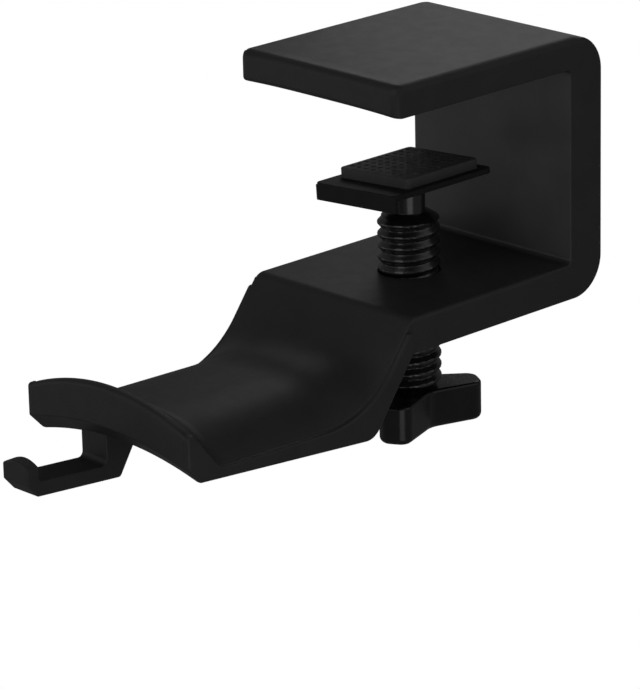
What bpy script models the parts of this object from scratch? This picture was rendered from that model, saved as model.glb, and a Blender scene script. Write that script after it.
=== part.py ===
"""Under-desk headphone hook with a screw clamp.

Metres, +Z up. The origin is on the flat underside of the top jaw, above the clamp screw's axis.
+X runs from the hook's tip to the back wall, and the screw's axis is Z.
"""

import math

import bmesh
import bpy
from mathutils import Matrix, Vector

# Bracket: one moulding, drawn as a side outline in X and Z and swept across its width.
WIDTH = 0.040
HALF_WIDTH = WIDTH / 2
JAW_END_X = -0.0225
JAW_THICKNESS = 0.0059
JAW_OPENING = 0.0368
WALL_INNER_X = 0.022
WALL_OUTER_X = 0.0302
ARM_THICKNESS = 0.0068
ARM_TOP_Z = -JAW_OPENING
ARM_BOTTOM_Z = ARM_TOP_Z - ARM_THICKNESS
OUTER_CORNER_RADIUS = 0.0072
CREASE_X = -0.0194
SLOPE_FOOT = (-0.0311, -0.0524)
TRAY_FRONT = (-0.0668, -0.0514)
LIP_INNER_X = -0.0726
LIP_FRONT_X = -0.0743
LIP_TOP_Z = -0.0441
LIP_FACE_BOTTOM_Z = -0.0502
LIP_BOTTOM = (-0.0714, -0.0532)
TRAY_BACK_BOTTOM = (-0.02985, -0.0567)
BEND_UNDERSIDE_X = -0.0202
LONGEST_STEP = 0.005
SADDLE_START_X = -0.0195
SADDLE_FULL_X = -0.036
TRAY_ARCH = 0.0063
LIP_ARCH = 0.0040
UNDERSIDE_ARCH = 0.0027
TRAY_ARCH_POWER = 3
PLAIN_ARCH_POWER = 2
JAW_TOP_EDGE = 0.0014
JAW_END_CORNER = 0.0018
JAW_END_BLEND = 0.0060
LIP_TOP_EDGE = 0.0010
ARM_TOP_EDGE = 0.0009
RIM_WIDTH = 0.0009
RIM_ROOT = 0.0015
RIM_START_DROP = 0.0003
RIM_START_RADIUS = 0.0008
RIM_INSET = 0.00005
RIM_EDGE = 0.0005
RIM_EDGE_STEPS = 3
PLAIN_EDGE = 0.0003
ARM_EDGE_TAPER = 0.012
ARM_EDGE_END_X = WALL_INNER_X - 0.001
EDGE_STATIONS = (0, 0.00009, 0.0003, 0.0006, 0.0011, 0.0018)
ARCH_STRIPS = 8
BEND_REACH = 0.001
ON_TOP_MARGIN = 0.0008
SLOPE_HALF_WALL = 0.0026
NEAR_TOP = 0.0005
LIP_TOP_REACH = 0.0010
LIP_TOP_DEPTH = 0.0015

# Cable hook, moulded under the lip, off the middle.
CABLE_HOOK_Y = 0.0066
CABLE_HOOK_WIDTH = 0.0066
CABLE_HOOK_ARCH = 0.0010
CABLE_POST_FRONT_X = -0.0716
CABLE_POST_TOP_Z = -0.0493
SHELF_TOP_BACK_Z = -0.0559
SHELF_TOP_FRONT_Z = -0.0546
TIP_INNER_X = -0.0869
TIP_FRONT_X = -0.0895
TIP_TOP_Z = -0.0520
TIP_CHAMFER_Z = -0.0549
SHELF_BOTTOM_FRONT = (-0.0873, -0.0574)
SHELF_BOTTOM_BACK = (-0.0685, -0.0590)
CABLE_POST_BACK = (-0.0630, -0.0502)

# Clamp screw and its thread.
PITCH = 0.0022
THREAD_OUTER = 0.00576
THREAD_ROOT = 0.0050
CREST_SHARE = 0.18
ROOT_SHARE = 0.12
THREAD_PHASE = 0.395
THREAD_TOP_Z = -0.0256
THREAD_BOTTOM_Z = -0.0584
THREAD_SIDES = 20
ROWS_PER_PITCH = 6
THREAD_CLEARANCE = 0.0004
LEAD_IN_STEP = 0.0010
LEAD_IN_SLOPE = 1.6
SHOULDER_STEP = 0.0002
SHOULDER_RISE = 0.0006
CUT_PAST = 0.002
NECK_RADIUS = 0.0031
NECK_TOP_Z = -0.0217
SPIGOT_RADIUS = 0.0015
SPIGOT_TOP_Z = -0.01957
PILOT_RADIUS = 0.00105
PILOT_DEPTH = 0.0080
SHANK_RADIUS = 0.0034
SHANK_BOTTOM_Z = -0.0620

# Pressure plate and pad, tilted on the neck.
PLATE_TILT = math.radians(-3.9)
PLATE_PIVOT_Z = -0.02005
PLATE_TOP = 0.00163
PLATE_THICKNESS = 0.0011
PLATE_FRONT_X = -0.0136
PLATE_BACK_X = 0.0116
PLATE_HALF_WIDTH = 0.0103
PLATE_CORNER = 0.0012
DISH_DEPTH = 0.00118
DISH_RADIUS = 0.0029
DISH_WALL = 0.0008
DISH_FLOOR = 0.0009
PLATE_HOLE_RADIUS = 0.0020
FLANGE_HEIGHT = 0.0033
FLANGE_THICKNESS = 0.0011
FLANGE_HALF_WIDTH = 0.0101
FLANGE_CORNER = 0.0003
JOIN_DEPTH = 0.0003
PAD_GAP = 0.0003
PAD_THICKNESS = 0.0016
PAD_LENGTH = 0.0183
PAD_WIDTH = 0.0176
PAD_CORNER = 0.0009
PAD_CENTRE_X = 0.00050
PAD_POCKET_RADIUS = 0.0030
PAD_POCKET_DEPTH = 0.0008

# Washers and self-tapping screws.
WASHER_RADIUS = 0.0030
WASHER_HOLE = 0.00185
THRUST_WASHER_Z = (-0.0214, -0.0209)
RETAINING_WASHER_Z = (-0.01927, -0.01887)
RETAINING_WASHER_HOLE = 0.00115
RETAINING_WASHER_RADIUS = 0.0024
SMALL_SHAFT_RADIUS = 0.00075
HEAD_RADIUS = 0.0024
HEAD_HEIGHT = 0.0009
RETAINING_HEAD_Z = -0.01857
RETAINING_LENGTH = 0.0070
KNOB_HEAD_RADIUS = 0.0028
KNOB_HEAD_HEIGHT = 0.0014
KNOB_SCREW_GRIP = 0.0065
HEAD_TOP_SHARE = 0.75
HEAD_RIM_SHARE = 0.6
HEAD_GAP = 0.0003

# Lobed knob.
KNOB_TOP_Z = -0.0590
KNOB_HEIGHT = 0.0075
KNOB_LOBES = 3
KNOB_TURN = math.radians(-29.5)
LOBE_REACH = 0.0132
LOBE_TIP_HALF = 0.00275
LOBE_TIP_RADIUS = 0.0024
VALLEY_REACH = 0.0056
VALLEY_RADIUS = 0.0045
KNOB_BOTTOM_CHAMFER = 0.0012
KNOB_TOP_CHAMFER = 0.0005
KNOB_BORE_RADIUS = 0.0037
KNOB_BORE_BOTTOM_Z = -0.0623
KNOB_FLOOR_BOTTOM_Z = -0.0639
KNOB_SCREW_HOLE = 0.0014
KNOB_RECESS_RADIUS = 0.0032

ROUND_SIDES = 32
SMALL_SIDES = 24
SMOOTH_ANGLE = math.radians(35)


def clear_scene():
    for obj in list(bpy.data.objects):
        bpy.data.objects.remove(obj)


def material(name, colour, roughness, metallic=0.0):
    made = bpy.data.materials.new(name)
    made.use_nodes = True
    shader = made.node_tree.nodes["Principled BSDF"]
    shader.inputs["Base Color"].default_value = (*colour, 1.0)
    shader.inputs["Roughness"].default_value = roughness
    shader.inputs["Metallic"].default_value = metallic
    return made


def new_object(name, mesh, finish=None):
    obj = bpy.data.objects.new(name, mesh)
    bpy.context.scene.collection.objects.link(obj)
    if finish:
        mesh.materials.append(finish)
    return obj


def mesh_from(name, points, faces, smooth=True):
    """A mesh with its normals facing out, smooth-shaded apart from its sharp edges."""
    mesh = bpy.data.meshes.new(name)
    mesh.from_pydata(points, [], faces)
    work = bmesh.new()
    work.from_mesh(mesh)
    bmesh.ops.recalc_face_normals(work, faces=work.faces)
    work.to_mesh(mesh)
    work.free()
    if smooth:
        mesh.shade_smooth()
        mesh.set_sharp_from_angle(angle=SMOOTH_ANGLE)
    return mesh


def cutter(name, mesh):
    obj = new_object(name, mesh)
    obj.hide_render = True
    obj.display_type = "WIRE"
    return obj


def boolean(obj, other, operation):
    modifier = obj.modifiers.new(other.name, "BOOLEAN")
    modifier.object = other
    modifier.operation = operation
    modifier.solver = "EXACT"


def rounded_outline(corners):
    """Points of a closed outline whose corners (x, y, radius, steps) are turned into arcs."""
    points = []
    for index, (x, y, radius, steps) in enumerate(corners):
        here = Vector((x, y))
        back = (Vector(corners[index - 1][:2]) - here).normalized()
        ahead = (Vector(corners[(index + 1) % len(corners)][:2]) - here).normalized()
        half = back.angle(ahead) / 2
        if radius == 0:
            points.append(here)
            continue
        centre = here + (back + ahead).normalized() * (radius / math.sin(half))
        first = here + back * (radius / math.tan(half)) - centre
        last = here + ahead * (radius / math.tan(half)) - centre
        turn = first.angle_signed(last)
        for step in range(steps + 1):
            points.append(centre + first @ Matrix.Rotation(turn * step / steps, 2))
    return points


def subdivided(outline, longest):
    """The outline with extra points wherever two of its points are further apart than longest."""
    points = []
    for index, here in enumerate(outline):
        ahead = outline[(index + 1) % len(outline)]
        parts = max(1, math.ceil((ahead - here).length / longest))
        points += [here.lerp(ahead, part / parts) for part in range(parts)]
    return points


def inset_directions(outline):
    """For each point of a closed outline, the vector that moves it 1 unit into the area."""
    area = sum(a.x * b.y - b.x * a.y for a, b in zip(outline, outline[1:] + outline[:1]))
    side = 1 if area > 0 else -1
    moves = []
    for index, here in enumerate(outline):
        before = (here - outline[index - 1]).normalized()
        after = (outline[(index + 1) % len(outline)] - here).normalized()
        normals = [Vector((-way.y, way.x)) * side for way in (before, after)]
        middle = (normals[0] + normals[1]).normalized()
        moves.append(middle / max(0.5, middle.dot(normals[0])))
    return moves


def saddle_corners():
    """Side outline from the arm's crease over the saddle and the lip, and back under it to the arm."""
    return [
        (CREASE_X, ARM_TOP_Z, 0.0022, 3),
        (*SLOPE_FOOT, 0.0200, 8),
        (*TRAY_FRONT, 0.0040, 5),
        (LIP_INNER_X, LIP_TOP_Z, 0.0008, 3),
        (LIP_FRONT_X, LIP_TOP_Z, 0.0008, 3),
        (LIP_FRONT_X, LIP_FACE_BOTTOM_Z, 0.0006, 1),
        (*LIP_BOTTOM, 0.0006, 1),
        (*TRAY_BACK_BOTTOM, 0.0038, 5),
        (BEND_UNDERSIDE_X, ARM_BOTTOM_Z, 0.0015, 3),
    ]


def bracket_outline():
    corners = [
        (JAW_END_X, 0, 0.0008, 2),
        (WALL_INNER_X, 0, 0.0010, 2),
        (WALL_INNER_X, ARM_TOP_Z, 0.0010, 2),
        *saddle_corners(),
        (WALL_OUTER_X, ARM_BOTTOM_Z, OUTER_CORNER_RADIUS, 7),
        (WALL_OUTER_X, JAW_THICKNESS, OUTER_CORNER_RADIUS, 7),
        (JAW_END_X, JAW_THICKNESS, 0.0018, 4),
    ]
    return subdivided(rounded_outline(corners), LONGEST_STEP)


def smooth_step(value):
    value = min(1.0, max(0.0, value))
    return value * value * (3 - 2 * value)


def lip_share(x, z):
    """0 on the tray and the slope, growing to 1 at the lip's top."""
    if x > SADDLE_FULL_X:
        return 0
    return smooth_step((z - TRAY_FRONT[1]) / (LIP_TOP_Z - TRAY_FRONT[1]))


def arch_rise(x, z):
    """How far the saddle's middle stands above its side edge, at a point of the side outline."""
    grown = smooth_step((SADDLE_START_X - x) / (SADDLE_START_X - SADDLE_FULL_X))
    top = TRAY_ARCH + (LIP_ARCH - TRAY_ARCH) * lip_share(x, z)
    if x < LIP_BOTTOM[0]:
        share = (z - LIP_FACE_BOTTOM_Z) / (LIP_TOP_Z - LIP_FACE_BOTTOM_Z)
        return UNDERSIDE_ARCH + (top - UNDERSIDE_ARCH) * min(1.0, max(0.0, share))
    return grown * (top if is_on_top(x, z) else UNDERSIDE_ARCH)


def arch_height(x, z, y):
    """How far the arch lifts a point of the side outline at y. The tray's arch has a flatter middle."""
    power = PLAIN_ARCH_POWER
    if x > LIP_INNER_X and is_on_top(x, z):
        power = TRAY_ARCH_POWER + (PLAIN_ARCH_POWER - TRAY_ARCH_POWER) * lip_share(x, z)
    return arch_rise(x, z) * (1 - min(1.0, abs(y) / HALF_WIDTH) ** power)


def slope_middle(x):
    """Height of the middle of the S-bend's wall at x."""
    fall = (x - CREASE_X) / (SLOPE_FOOT[0] - CREASE_X)
    return -JAW_OPENING + (SLOPE_FOOT[1] + JAW_OPENING) * fall - SLOPE_HALF_WALL


def underside_height(x):
    """Height of the tray's underside at x, along the side edge."""
    share = (x - LIP_BOTTOM[0]) / (TRAY_BACK_BOTTOM[0] - LIP_BOTTOM[0])
    return LIP_BOTTOM[1] + (TRAY_BACK_BOTTOM[1] - LIP_BOTTOM[1]) * share


def is_on_top(x, z):
    """Whether a point of the side outline is on the saddle's upper face."""
    return z > max(underside_height(x), slope_middle(x)) + ON_TOP_MARGIN


def edge_radii(x, z):
    """The side edges' radii along X and Z at a point of the side outline."""
    if z > JAW_THICKNESS - NEAR_TOP:
        return (JAW_TOP_EDGE, JAW_TOP_EDGE)
    if x < LIP_INNER_X + LIP_TOP_REACH and z > LIP_TOP_Z - LIP_TOP_DEPTH:
        return (PLAIN_EDGE, LIP_TOP_EDGE)
    if CREASE_X - BEND_REACH <= x < ARM_EDGE_END_X and abs(z + JAW_OPENING) < ON_TOP_MARGIN:
        fading = smooth_step((ARM_EDGE_END_X - x) / ARM_EDGE_TAPER)
        return (PLAIN_EDGE, PLAIN_EDGE + (ARM_TOP_EDGE - PLAIN_EDGE) * fading)
    return (PLAIN_EDGE, PLAIN_EDGE)


def rounded_off(radius, y):
    """How far a side edge of that radius has turned in at y."""
    past = abs(y) - (HALF_WIDTH - radius)
    if past <= 0:
        return 0
    return radius - math.sqrt(max(0, radius * radius - past * past))


def jaw_end_shift(x, z, y):
    """How far the jaw's free end is drawn back near its two upright corners."""
    if z < -JAW_THICKNESS:
        return 0
    return rounded_off(JAW_END_CORNER, y) * max(0, 1 - (x - JAW_END_X) / JAW_END_BLEND)


def bracket_point(point, move, y):
    along_x, along_z = edge_radii(point.x, point.y)
    x = point.x + move.x * rounded_off(along_x, y) + jaw_end_shift(point.x, point.y, y)
    z = point.y + move.y * rounded_off(along_z, y)
    return (x, y, z + arch_height(point.x, point.y, y))


def bracket_mesh():
    outline = bracket_outline()
    moves = inset_directions(outline)
    edge = [HALF_WIDTH - offset for offset in EDGE_STATIONS]
    inner = [edge[-1] * (1 - 2 * strip / ARCH_STRIPS) for strip in range(1, ARCH_STRIPS)]
    stations = edge + inner + [-y for y in reversed(edge)]
    points = []
    for y in stations:
        points += [bracket_point(point, move, y) for point, move in zip(outline, moves)]
    return prism_mesh("bracket", points, len(outline))


def saddle_rim_mesh(name, side):
    """The flat rim along one side of the saddle and the lip, which stands out past the arm's side."""
    corners = [(CREASE_X, ARM_TOP_Z - RIM_START_DROP, RIM_START_RADIUS, RIM_EDGE_STEPS)]
    corners += saddle_corners()[1:-1]
    corners += [(BEND_UNDERSIDE_X, ARM_BOTTOM_Z, 0, 0)]
    outline = rounded_outline(corners)
    moves = inset_directions(outline)
    outer = HALF_WIDTH + RIM_WIDTH
    levels = [(HALF_WIDTH - RIM_ROOT * share, RIM_INSET) for share in (1, 0.5, 0)]
    for step in range(RIM_EDGE_STEPS + 1):
        turn = math.pi / 2 * step / RIM_EDGE_STEPS
        y = outer - RIM_EDGE * (1 - math.sin(turn))
        levels.append((y, RIM_INSET + RIM_EDGE * (1 - math.cos(turn))))
    points = []
    for y, inset in levels:
        for point, move in zip(outline, moves):
            z = point.y + move.y * inset + arch_height(point.x, point.y, y)
            points.append((point.x + move.x * inset, y * side, z))
    return prism_mesh(name, points, len(outline))


def cable_hook_mesh():
    corners = [
        (CABLE_POST_FRONT_X, CABLE_POST_TOP_Z, 0, 0),
        (CABLE_POST_FRONT_X, SHELF_TOP_BACK_Z, 0.0010, 3),
        (TIP_INNER_X, SHELF_TOP_FRONT_Z, 0.0007, 2),
        (TIP_INNER_X, TIP_TOP_Z, 0.0003, 1),
        (TIP_FRONT_X, TIP_TOP_Z, 0.0003, 1),
        (TIP_FRONT_X, TIP_CHAMFER_Z, 0.0005, 2),
        (*SHELF_BOTTOM_FRONT, 0.0005, 2),
        (*SHELF_BOTTOM_BACK, 0.0008, 2),
        (*CABLE_POST_BACK, 0, 0),
    ]
    outline = rounded_outline(corners)
    points = []
    for share in (-1, -0.5, 0, 0.5, 1):
        y = CABLE_HOOK_Y + share * CABLE_HOOK_WIDTH / 2
        for point in outline:
            on_tip = point.y > TIP_TOP_Z - NEAR_TOP and point.x < TIP_INNER_X + NEAR_TOP
            rise = CABLE_HOOK_ARCH * (1 - share * share) if on_tip else 0
            points.append((point.x, y, point.y + rise))
    return prism_mesh("cable_hook", points, len(outline))


def prism_mesh(name, points, count):
    """A closed tube through rings of count points each, with its two ends filled."""
    rings = len(points) // count
    faces = [tuple(range(count)), tuple(reversed(range(len(points) - count, len(points))))]
    for ring in range(rings - 1):
        for column in range(count):
            following = (column + 1) % count
            low = ring * count
            faces.append((low + column, low + following, low + count + following, low + count + column))
    return mesh_from(name, points, faces)


def thread_radius(phase):
    """Radius at a share of the pitch: flat root, slanted flank, flat crest, slanted flank."""
    flank = (1 - CREST_SHARE - ROOT_SHARE) / 2
    phase %= 1.0
    if phase < ROOT_SHARE:
        return THREAD_ROOT
    if phase < ROOT_SHARE + flank:
        return THREAD_ROOT + (THREAD_OUTER - THREAD_ROOT) * (phase - ROOT_SHARE) / flank
    if phase < ROOT_SHARE + flank + CREST_SHARE:
        return THREAD_OUTER
    fallen = (phase - ROOT_SHARE - flank - CREST_SHARE) / flank
    return THREAD_OUTER - (THREAD_OUTER - THREAD_ROOT) * fallen


def thread_ring(z, extra, most):
    ring = []
    for side in range(THREAD_SIDES):
        angle = 2 * math.pi * side / THREAD_SIDES
        radius = min(most, thread_radius(z / PITCH + THREAD_PHASE - side / THREAD_SIDES) + extra)
        ring.append((radius * math.cos(angle), radius * math.sin(angle), z))
    return ring


def round_ring(radius, z):
    ring = []
    for side in range(THREAD_SIDES):
        angle = 2 * math.pi * side / THREAD_SIDES
        ring.append((radius * math.cos(angle), radius * math.sin(angle), z))
    return ring


def thread_rows(low_z, high_z):
    step = PITCH / ROWS_PER_PITCH
    first = math.ceil(low_z / step + 0.2)
    last = math.floor(high_z / step - 0.2)
    return [row * step for row in range(first, last + 1)]


def clamp_screw_mesh():
    rings = [
        round_ring(SHANK_RADIUS, SHANK_BOTTOM_Z),
        round_ring(SHANK_RADIUS, THREAD_BOTTOM_Z),
        round_ring(THREAD_ROOT, THREAD_BOTTOM_Z + SHOULDER_STEP),
    ]
    for z in thread_rows(THREAD_BOTTOM_Z, THREAD_TOP_Z):
        lead_in = NECK_RADIUS + LEAD_IN_STEP + (THREAD_TOP_Z - z) * LEAD_IN_SLOPE
        rings.append(thread_ring(z, 0, min(lead_in, THREAD_OUTER)))
    rings += [
        round_ring(NECK_RADIUS + SHOULDER_RISE, THREAD_TOP_Z),
        round_ring(NECK_RADIUS, THREAD_TOP_Z + SHOULDER_STEP),
        round_ring(NECK_RADIUS, NECK_TOP_Z),
        round_ring(SPIGOT_RADIUS, NECK_TOP_Z),
        round_ring(SPIGOT_RADIUS, SPIGOT_TOP_Z),
    ]
    points = [point for ring in rings for point in ring]
    return prism_mesh("clamp_screw", points, THREAD_SIDES)


def thread_cutter_mesh():
    top = -JAW_OPENING + CUT_PAST
    bottom = -JAW_OPENING - ARM_THICKNESS - CUT_PAST
    rings = [thread_ring(z, THREAD_CLEARANCE, THREAD_OUTER * 2) for z in thread_rows(bottom, top)]
    points = [point for ring in rings for point in ring]
    return prism_mesh("arm_thread", points, THREAD_SIDES)


def turned_mesh(name, profile, sides):
    """A closed profile of (radius, z) turned about Z. A point on the axis becomes one vertex."""
    points = []
    rings = []
    for radius, z in profile:
        if radius == 0:
            rings.append([len(points)] * sides)
            points.append((0, 0, z))
            continue
        rings.append(list(range(len(points), len(points) + sides)))
        for side in range(sides):
            angle = 2 * math.pi * side / sides
            points.append((radius * math.cos(angle), radius * math.sin(angle), z))
    faces = []
    for index, ring in enumerate(rings):
        following = rings[(index + 1) % len(rings)]
        for side in range(sides):
            turned = (side + 1) % sides
            corners = [ring[side], ring[turned], following[turned], following[side]]
            corners = list(dict.fromkeys(corners))
            if len(corners) > 2:
                faces.append(tuple(corners))
    return mesh_from(name, points, faces)


def washer_mesh(name, low_z, high_z, hole, radius):
    profile = [(hole, low_z), (radius, low_z), (radius, high_z), (hole, high_z)]
    return turned_mesh(name, profile, SMALL_SIDES)


def tapping_screw_mesh(name, head_radius, head_height, length):
    """Pan-headed screw, its head's underside at z = 0 and its shaft running down."""
    profile = [
        (0, head_height),
        (head_radius * HEAD_TOP_SHARE, head_height),
        (head_radius, head_height * HEAD_RIM_SHARE),
        (head_radius, 0),
        (SMALL_SHAFT_RADIUS, 0),
        (SMALL_SHAFT_RADIUS, -length + SMALL_SHAFT_RADIUS),
        (0, -length),
    ]
    return turned_mesh(name, profile, SMALL_SIDES)


def knob_outline():
    corners = []
    for lobe in range(KNOB_LOBES):
        turn = 2 * math.pi * lobe / KNOB_LOBES
        for x, y, radius, steps in (
            (LOBE_REACH, -LOBE_TIP_HALF, LOBE_TIP_RADIUS, 5),
            (LOBE_REACH, LOBE_TIP_HALF, LOBE_TIP_RADIUS, 5),
            (
                VALLEY_REACH * math.cos(math.pi / KNOB_LOBES),
                VALLEY_REACH * math.sin(math.pi / KNOB_LOBES),
                VALLEY_RADIUS,
                6,
            ),
        ):
            corners.append(
                (
                    x * math.cos(turn) - y * math.sin(turn),
                    x * math.sin(turn) + y * math.cos(turn),
                    radius,
                    steps,
                )
            )
    return rounded_outline(corners)


def knob_mesh():
    outline = knob_outline()
    moves = inset_directions(outline)
    levels = [
        (-KNOB_HEIGHT, KNOB_BOTTOM_CHAMFER),
        (-KNOB_HEIGHT + KNOB_BOTTOM_CHAMFER, 0),
        (-KNOB_TOP_CHAMFER, 0),
        (0, KNOB_TOP_CHAMFER),
    ]
    points = []
    for z, inset in levels:
        for point, move in zip(outline, moves):
            moved = point + move * inset
            points.append((moved.x, moved.y, z))
    return prism_mesh("knob", points, len(outline))


def knob_bore_mesh():
    """Socket for the screw's shank from above, screw hole, and the head's recess from below."""
    profile = [
        (0, CUT_PAST),
        (KNOB_BORE_RADIUS, CUT_PAST),
        (KNOB_BORE_RADIUS, KNOB_BORE_BOTTOM_Z - KNOB_TOP_Z),
        (KNOB_SCREW_HOLE, KNOB_BORE_BOTTOM_Z - KNOB_TOP_Z),
        (KNOB_SCREW_HOLE, KNOB_FLOOR_BOTTOM_Z - KNOB_TOP_Z),
        (KNOB_RECESS_RADIUS, KNOB_FLOOR_BOTTOM_Z - KNOB_TOP_Z),
        (KNOB_RECESS_RADIUS, -KNOB_HEIGHT - CUT_PAST),
        (0, -KNOB_HEIGHT - CUT_PAST),
    ]
    return turned_mesh("knob_bore", profile, SMALL_SIDES)


def slab_mesh(name, low, high, corner, steps):
    """A flat block from low to high whose upright edges are rounded."""
    corners = [
        (low[0], low[1], corner, steps),
        (high[0], low[1], corner, steps),
        (high[0], high[1], corner, steps),
        (low[0], high[1], corner, steps),
    ]
    outline = rounded_outline(corners)
    points = [(point.x, point.y, z) for z in (low[2], high[2]) for point in outline]
    return prism_mesh(name, points, len(outline))


def plate_mesh():
    low = (PLATE_FRONT_X, -PLATE_HALF_WIDTH, PLATE_TOP - PLATE_THICKNESS)
    high = (PLATE_BACK_X, PLATE_HALF_WIDTH, PLATE_TOP)
    return slab_mesh("pressure_plate", low, high, PLATE_CORNER, 4)


def flange_mesh():
    low = (PLATE_FRONT_X, -FLANGE_HALF_WIDTH, PLATE_TOP - FLANGE_HEIGHT)
    high = (PLATE_FRONT_X + FLANGE_THICKNESS, FLANGE_HALF_WIDTH, PLATE_TOP - JOIN_DEPTH)
    return slab_mesh("plate_flange", low, high, FLANGE_CORNER, 1)


def dish_mesh():
    """The pressed dish that hangs under the plate's middle."""
    bottom = PLATE_TOP - DISH_DEPTH - DISH_FLOOR
    profile = [
        (0, bottom),
        (DISH_RADIUS + DISH_WALL, bottom),
        (DISH_RADIUS + DISH_WALL, PLATE_TOP - JOIN_DEPTH),
        (0, PLATE_TOP - JOIN_DEPTH),
    ]
    return turned_mesh("plate_dish", profile, ROUND_SIDES)


def dish_cut_mesh():
    floor = PLATE_TOP - DISH_DEPTH
    profile = [
        (0, PLATE_TOP + CUT_PAST),
        (DISH_RADIUS, PLATE_TOP + CUT_PAST),
        (DISH_RADIUS, floor),
        (PLATE_HOLE_RADIUS, floor),
        (PLATE_HOLE_RADIUS, floor - DISH_FLOOR - CUT_PAST),
        (0, floor - DISH_FLOOR - CUT_PAST),
    ]
    return turned_mesh("plate_hole", profile, ROUND_SIDES)


def pad_mesh():
    bottom = PLATE_TOP + PAD_GAP
    low = (PAD_CENTRE_X - PAD_LENGTH / 2, -PAD_WIDTH / 2, bottom)
    high = (PAD_CENTRE_X + PAD_LENGTH / 2, PAD_WIDTH / 2, bottom + PAD_THICKNESS)
    return slab_mesh("grip_pad", low, high, PAD_CORNER, 4)


def pad_pocket_mesh():
    bottom = PLATE_TOP + PAD_GAP
    profile = [
        (0, bottom + PAD_POCKET_DEPTH),
        (PAD_POCKET_RADIUS, bottom + PAD_POCKET_DEPTH),
        (PAD_POCKET_RADIUS, bottom - CUT_PAST),
        (0, bottom - CUT_PAST),
    ]
    return turned_mesh("pad_pocket", profile, ROUND_SIDES)


def pilot_mesh(name, mouth_z, depth):
    """A blind pilot hole; a negative depth runs upwards from its mouth."""
    outside = mouth_z + math.copysign(CUT_PAST, depth)
    end = mouth_z - depth
    low, high = sorted((outside, end))
    profile = [(0, low), (PILOT_RADIUS, low), (PILOT_RADIUS, high), (0, high)]
    return turned_mesh(name, profile, SMALL_SIDES)


def build_bracket():
    plastic = material("bracket_plastic", (0.018, 0.018, 0.019), 0.48)
    bracket = new_object("bracket", bracket_mesh(), plastic)
    boolean(bracket, cutter("near_rim", saddle_rim_mesh("near_rim", -1)), "UNION")
    boolean(bracket, cutter("far_rim", saddle_rim_mesh("far_rim", 1)), "UNION")
    boolean(bracket, cutter("cable_hook", cable_hook_mesh()), "UNION")
    boolean(bracket, cutter("arm_thread", thread_cutter_mesh()), "DIFFERENCE")


def build_screw():
    plastic = material("screw_plastic", (0.014, 0.014, 0.015), 0.30)
    screw = new_object("clamp_screw", clamp_screw_mesh(), plastic)
    upper_pilot = pilot_mesh("upper_pilot", SPIGOT_TOP_Z, PILOT_DEPTH)
    lower_pilot = pilot_mesh("lower_pilot", SHANK_BOTTOM_Z, -PILOT_DEPTH)
    boolean(screw, cutter("upper_pilot", upper_pilot), "DIFFERENCE")
    boolean(screw, cutter("lower_pilot", lower_pilot), "DIFFERENCE")


def build_knob():
    plastic = material("knob_plastic", (0.014, 0.014, 0.015), 0.28)
    place = Matrix.Translation((0, 0, KNOB_TOP_Z)) @ Matrix.Rotation(KNOB_TURN, 4, "Z")
    knob = new_object("knob", knob_mesh(), plastic)
    bore = cutter("knob_bore", knob_bore_mesh())
    for obj in (knob, bore):
        obj.matrix_world = place
    boolean(knob, bore, "DIFFERENCE")


def build_plate():
    pivot = bpy.data.objects.new("plate_pivot", None)
    bpy.context.scene.collection.objects.link(pivot)
    pivot.location.z = PLATE_PIVOT_Z
    pivot.rotation_euler.x = PLATE_TILT
    plastic = material("plate_plastic", (0.014, 0.014, 0.015), 0.32)
    rubber = material("pad_rubber", (0.020, 0.020, 0.020), 0.70)
    plate = new_object("pressure_plate", plate_mesh(), plastic)
    flange = cutter("plate_flange", flange_mesh())
    dish = cutter("plate_dish", dish_mesh())
    hole = cutter("plate_hole", dish_cut_mesh())
    pad = new_object("grip_pad", pad_mesh(), rubber)
    pocket = cutter("pad_pocket", pad_pocket_mesh())
    boolean(plate, flange, "UNION")
    boolean(plate, dish, "UNION")
    boolean(plate, hole, "DIFFERENCE")
    boolean(pad, pocket, "DIFFERENCE")
    for obj in (plate, flange, dish, hole, pad, pocket):
        obj.parent = pivot


def build_fasteners():
    steel = material("steel", (0.45, 0.45, 0.46), 0.35, 1.0)
    lower = washer_mesh("thrust_washer", *THRUST_WASHER_Z, WASHER_HOLE, WASHER_RADIUS)
    new_object("thrust_washer", lower, steel)
    upper_radii = (RETAINING_WASHER_HOLE, RETAINING_WASHER_RADIUS)
    upper = washer_mesh("retaining_washer", *RETAINING_WASHER_Z, *upper_radii)
    new_object("retaining_washer", upper, steel)
    mesh = tapping_screw_mesh("retaining_screw", HEAD_RADIUS, HEAD_HEIGHT, RETAINING_LENGTH)
    retaining = new_object("retaining_screw", mesh, steel)
    retaining.location.z = RETAINING_HEAD_Z
    length = SHANK_BOTTOM_Z - KNOB_FLOOR_BOTTOM_Z + KNOB_SCREW_GRIP
    mesh = tapping_screw_mesh("knob_screw", KNOB_HEAD_RADIUS, KNOB_HEAD_HEIGHT, length)
    lower = new_object("knob_screw", mesh, steel)
    lower.location.z = KNOB_FLOOR_BOTTOM_Z - HEAD_GAP
    lower.rotation_euler.x = math.pi


def main():
    clear_scene()
    build_bracket()
    build_screw()
    build_knob()
    build_plate()
    build_fasteners()


main()
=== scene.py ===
"""The looks of the under-desk headphone hook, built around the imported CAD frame. Metres, +Z up.

The moulded pieces are built again with finer curves, rounded edges and small details, in the places
that the frame gives them. The washers stay as the frame has them, with bevelled edges and steel on.
"""

import math

import bmesh
import bpy
from mathutils import Matrix, Vector


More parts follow.
